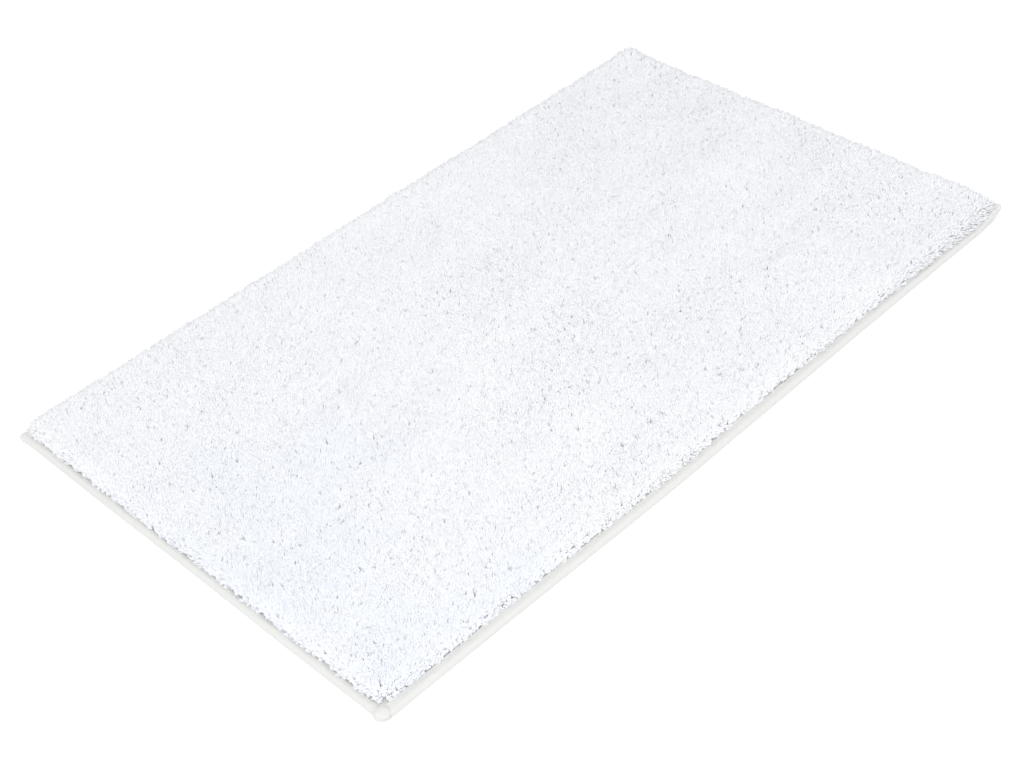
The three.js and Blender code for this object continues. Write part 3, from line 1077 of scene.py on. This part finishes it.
unruly = 0.85 + 0.33 * (tuft_x / HALF_LENGTH + 1)  # the right end of the pile is less even
stroke_u = tuft_x * math.cos(STROKE) + tuft_y * math.sin(STROKE)
stroke_v = -tuft_x * math.sin(STROKE) + tuft_y * math.cos(STROKE)
brushed = hills(stroke_u / 3.5, stroke_v, 34 * MM, 41) + 0.6 * hills(stroke_u / 2.5, stroke_v, 15 * MM, 42)
lean_x = STROKE_LEAN * brushed * unruly * math.cos(LEAN_WAY)
lean_y = STROKE_LEAN * brushed * unruly * math.sin(LEAN_WAY)

centre_x, centre_y = clump_centres(tuft_x, tuft_y)
lean_x += unruly * (CLING * (centre_x - tuft_x) + rng.normal(0, RANDOM_LEAN, len(tuft_x)))
lean_y += unruly * (CLING * (centre_y - tuft_y) + rng.normal(0, RANDOM_LEAN, len(tuft_y)))

# The crease is a line from start to end: tufts lean away from it on both sides
CREASE_WIDTH = 6 * MM
CREASE_FADES = 25 * MM
CREASE_LEAN = 1.5 * MM
CREASE_WANDERS = 3 * MM
crease_start = np.array([-0.80 * HALF_LENGTH, -0.26 * HALF_WIDTH])
crease_end = np.array([-0.58 * HALF_LENGTH, -0.33 * HALF_WIDTH])
crease_length = np.linalg.norm(crease_end - crease_start)
crease_run = (crease_end - crease_start) / crease_length
from_start = np.stack([tuft_x, tuft_y], 1) - crease_start
crease_along = from_start @ crease_run
crease_side = from_start @ np.array([-crease_run[1], crease_run[0]])
crease_side += CREASE_WANDERS * hills(crease_along, 0, 30 * MM, 48)
crease = (np.exp(-(crease_side / CREASE_WIDTH) ** 2)
          * ease(crease_along / CREASE_FADES) * ease((crease_length - crease_along) / CREASE_FADES))
lean_x -= CREASE_LEAN * crease * np.sign(crease_side) * crease_run[1]
lean_y += CREASE_LEAN * crease * np.sign(crease_side) * crease_run[0]
print("tips lean by up to, mm:", round(float(np.hypot(lean_x, lean_y).max()) / MM, 1))

# %% [markdown]
# The tufts' lengths are almost even, because the pile was sheared. They vary a little in broad
# hills, from clump to clump and from tuft to tuft, and a few tufts are cut short. At the edges
# the tufts fan outwards: how far they drop and how far they spread is set for each side.

# %% How long they are
FAN_REACH = 9.5 * MM
FAN_DROP = {"front": 12.4 * MM, "left": 12.4 * MM, "back": 8 * MM, "right": 8 * MM}
FAN_SPREAD = {"front": 1.2 * MM, "left": 1.4 * MM, "back": 11 * MM, "right": 11 * MM}
FRONT_SPREAD_GROWS = 10 * MM
BACK_RIGHT_SPREAD = 8 * MM
WORN_DEPTH = 9 * MM  # how much lower the pile is at the right front corner
WORN_REACH = 55 * MM
LENGTH_HILLS = 0.4 * MM
LENGTH_NOISE = 0.25 * MM
CLUMP_DOMES = 0.1  # how fast a clump's top falls away from its centre
CREASE_DEPTH = 0.9 * MM
SHORT_TUFTS = 0.018
SHORT_BY = 4.5 * MM
TONE_NOISE = 0.010


def from_sides(values, toward_x, toward_y):
    """Blends the values of the two sides that an outward direction points at."""
    return (np.where(toward_x > 0, values["right"], values["left"]) * toward_x**2
            + np.where(toward_y > 0, values["back"], values["front"]) * toward_y**2)


fan_drop = from_sides(FAN_DROP, out_x, out_y)
fan_spread = from_sides(FAN_SPREAD, out_x, out_y)
toward_right = np.clip(tuft_x / HALF_LENGTH, 0, 1)
fan_spread += FRONT_SPREAD_GROWS * (out_y < 0) * out_y**2 * toward_right**2
fan_spread += BACK_RIGHT_SPREAD * 2 * np.clip(out_x, 0, 1) * np.clip(out_y, 0, 1)
ragged = 1 + 0.13 * hills(tuft_x, tuft_y, 16 * MM, 43) + 0.07 * hills(tuft_x, tuft_y, 6 * MM, 46)
worn = np.clip(1 - np.hypot(tuft_x - HALF_LENGTH, tuft_y + HALF_WIDTH) / WORN_REACH, 0, 1)

tuft_length = (TIP_HEIGHT - ROOT_HEIGHT
               + LENGTH_HILLS * hills(tuft_x, tuft_y, 70 * MM, 44)
               + LENGTH_HILLS * hills(tuft_x, tuft_y, 11 * MM, 45)
               - CLUMP_DOMES * np.hypot(centre_x - tuft_x, centre_y - tuft_y)
               - CREASE_DEPTH * crease
               - WORN_DEPTH * worn
               + rng.normal(0, LENGTH_NOISE, len(tuft_x))
               - SHORT_BY * (rng.random(len(tuft_x)) < SHORT_TUFTS) * (depth > FAN_REACH))
tuft_tone = 1 + TONE_NOISE * rng.normal(0, 1, len(tuft_x))
print("tuft length, mm:", round(float(np.median(tuft_length)) / MM, 1))

# %% [markdown]
# Now the yarn ends themselves. Each starts at one point at the foot, swells to its fullest ring,
# narrows to a second ring and closes at a blunt tip: twelve faces, which is as few as a soft,
# round-tipped end can have. There are over 300,000 of them.
#
# Real fibres are finer than any mesh, and they pass light on to each other, so a cut pile shades more like
# one soft surface than like separate rods. Tilting the shading normals towards the open side of the pile
# gives the mesh that softness.

# %% Build the yarn ends
SIDES_OF_END = 3
END_RINGS = ((0.80, 1.12 * MM), (0.955, 0.95 * MM))  # share of the length, and radius
END_POINTS = SIDES_OF_END * len(END_RINGS) + 2
ALONG = np.array([0.0] + [share for share, _ in END_RINGS for _ in range(SIDES_OF_END)] + [1.0])
OPEN_SIDE_SHARE = 1.8
SKY_SHARE = 0.6  # under 1, the edge of the pile still shades as if it looked partly upwards
UPTURN = 4 * MM  # how strongly the outermost ends curve up from the tape
TURNED_MOST = math.radians(92)
SPLAY = (0.7 * MM, 2.3 * MM)  # how far the ends of one tuft stand apart at the tip
FOOT_RADIUS = 0.9 * MM
MIDDLE_END = 0.15  # the last end of each tuft stands near its middle
MIDDLE_TALLER = 0.2 * MM
END_LENGTH_NOISE = 0.28 * MM
LOWEST_RISE = 2.6 * MM
THICKNESS = (0.7, 1.25)
FRIZZ = 0.35 * MM
TIP_FRIZZ = 1.6


def end_faces():
    """Faces of one yarn end: foot at point 0, then the rings, then the tip."""
    faces = []
    tip = END_POINTS - 1
    for side in range(SIDES_OF_END):
        after = (side + 1) % SIDES_OF_END
        faces.append((0, 1 + after, 1 + side))
        for ring in range(len(END_RINGS) - 1):
            low, high = 1 + ring * SIDES_OF_END, 1 + (ring + 1) * SIDES_OF_END
            faces += [(low + side, low + after, high + side), (low + after, high + after, high + side)]
        top = 1 + (len(END_RINGS) - 1) * SIDES_OF_END
        faces.append((top + side, top + after, tip))
    return np.array(faces)


def yarn_ends(chosen):
    """Points, shading normals, faces and tones of every yarn end in the chosen tufts."""
    count = len(chosen) * ENDS_PER_TUFT
    tuft = np.repeat(chosen, ENDS_PER_TUFT)
    which = np.tile(np.arange(ENDS_PER_TUFT), len(chosen))
    draw = np.random.default_rng(int(chosen[0]) + 1000)
    spin = np.repeat(draw.uniform(0, 2 * math.pi, len(chosen)), ENDS_PER_TUFT)
    around = spin + which * 2 * math.pi / (ENDS_PER_TUFT - 1) + draw.normal(0, 0.25, count)
    outer = np.where(which == ENDS_PER_TUFT - 1, MIDDLE_END, 1.0)
    splay = outer * draw.uniform(*SPLAY, count)
    ray = np.stack([np.cos(around), np.sin(around)], 1)
    base = np.stack([tuft_x[tuft], tuft_y[tuft]], 1) + (outer * FOOT_RADIUS)[:, None] * ray
    # Near the outline every end has its own place in the fan, so that no rows show
    inset = depth[tuft] + draw.uniform(-0.5, 0.5, count) * GAUGE
    turned = TURNED_MOST * np.clip(1 - inset / FAN_REACH, 0, 1) * np.clip(ragged[tuft], 0, 1.05)
    splayed = splay * (1 - 0.6 * np.sin(turned))
    lean = np.stack([lean_x[tuft], lean_y[tuft]], 1) + splayed[:, None] * ray
    length = tuft_length[tuft] + draw.normal(0, END_LENGTH_NOISE, count) + MIDDLE_TALLER * (1 - outer)
    rise = np.sqrt(length**2 - (lean**2).sum(1))
    fan = (FAN_REACH + fan_spread[tuft]) * np.sin(turned) - (FAN_REACH - np.clip(inset, 0, FAN_REACH))
    fan = np.clip(fan, 0, None) * (turned > 0)
    rise = np.maximum(rise - fan_drop[tuft] * (1 - np.cos(turned)), LOWEST_RISE)
    outward_field = np.stack([out_x[tuft], out_y[tuft]], 1)
    fan_way = fan[:, None] * outward_field
    tilt = SKY_SHARE * turned
    open_side = np.column_stack([np.sin(tilt)[:, None] * outward_field, np.cos(tilt)])
    thickness = draw.uniform(*THICKNESS, count) * (1 + 0.25 * np.sin(turned))
    upturn = UPTURN * np.sin(turned)
    frizz = draw.normal(0, FRIZZ, (len(END_RINGS) + 1, count, 2))
    turn = draw.uniform(0, 2 * math.pi, count)

    points = np.empty((count, END_POINTS, 3))
    normals = np.empty_like(points)
    points[:, 0, :2] = base
    points[:, 0, 2] = ROOT_HEIGHT
    points[:, -1, :2] = base + lean + fan_way + TIP_FRIZZ * frizz[-1]
    points[:, -1, 2] = ROOT_HEIGHT + rise
    normals[:, 0] = open_side
    normals[:, -1] = open_side
    for ring, (share, radius) in enumerate(END_RINGS):
        centre = base + lean * share**1.5 + fan_way * share**2.4 + share * frizz[ring]
        for corner in range(SIDES_OF_END):
            angle = turn + (corner + 0.5 * ring) * 2 * math.pi / SIDES_OF_END
            outward = np.stack([np.cos(angle), np.sin(angle)], 1)
            number = 1 + ring * SIDES_OF_END + corner
            points[:, number, :2] = centre + (radius * thickness)[:, None] * outward
            points[:, number, 2] = ROOT_HEIGHT + rise * share - upturn * share * (1 - share)
            normals[:, number] = OPEN_SIDE_SHARE * share * open_side
            normals[:, number, :2] += outward
    normals /= np.linalg.norm(normals, axis=2, keepdims=True)
    faces = (end_faces()[None] + (np.arange(count) * END_POINTS)[:, None, None]).reshape(-1, 3)
    tone = np.repeat(tuft_tone[tuft], END_POINTS)
    return points.reshape(-1, 3), normals.reshape(-1, 3), faces, tone


def point_attribute(piece, name, values):
    """Gives a piece a named number at each of its points, for its material to read."""
    layer = piece.data.attributes.new(name, "FLOAT", "POINT")
    layer.data.foreach_set("value", values.astype(np.float32))


print("a yarn end has", END_POINTS, "points and", len(end_faces()), "faces")

# %% [markdown]
# One mesh with millions of faces is slow to work with, so the field is cut into patches. A patch
# is only a share of the tufts: every tuft stays whole, and no border shows.
#
# Each patch also gets a map on which every tuft has a small square of its own, with the foot of
# the yarn at the bottom and the tip at the top. That is what a texture of the pile needs when
# the model leaves Blender.

# %% Cut the field into patches
PATCH_COLUMNS = 5
PATCH_ROWS = 4
SQUARE_USED = 0.9  # the share of its square that a tuft fills
SQUARE_MARGIN = 0.05


def tuft_map(tufts):
    """Each point's place on the map on which every tuft has its own square."""
    across = math.ceil(math.sqrt(tufts))
    total = tufts * ENDS_PER_TUFT * END_POINTS
    tuft = np.arange(total) // (ENDS_PER_TUFT * END_POINTS)
    corner = np.arange(total) % END_POINTS
    inside_u = np.array([0.5] + [0.1, 0.5, 0.9] * len(END_RINGS) + [0.5])[corner]
    inside_v = ALONG[corner]
    return np.stack([(tuft % across + SQUARE_USED * inside_u + SQUARE_MARGIN) / across,
                     (tuft // across + SQUARE_USED * inside_v + SQUARE_MARGIN) / across], 1)


pile_faces = 0
patch_column = np.clip(((tuft_x / field_x + 1) / 2 * PATCH_COLUMNS).astype(int), 0, PATCH_COLUMNS - 1)
patch_row = np.clip(((tuft_y / field_y + 1) / 2 * PATCH_ROWS).astype(int), 0, PATCH_ROWS - 1)
for c in range(PATCH_COLUMNS):
    for r in range(PATCH_ROWS):
        chosen = np.flatnonzero((patch_column == c) & (patch_row == r))
        points, normals, faces, tone = yarn_ends(chosen)
        patch = make_piece(f"pile_patch_{r + 1}{c + 1}", points, faces, PILE_YARN, ["pile"])
        patch.data.normals_split_custom_set_from_vertices(normals)
        point_attribute(patch, "along", np.tile(ALONG, len(points) // END_POINTS))
        point_attribute(patch, "tone", tone)
        add_map(patch, "OFBake", tuft_map(len(chosen)))
        pile_faces += len(faces)
print("the pile has", pile_faces, "faces in", PATCH_COLUMNS * PATCH_ROWS, "patches")

# %% [markdown]
# Last, the bounds of the finished model are measured.

# %% Measure the finished model
low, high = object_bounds()
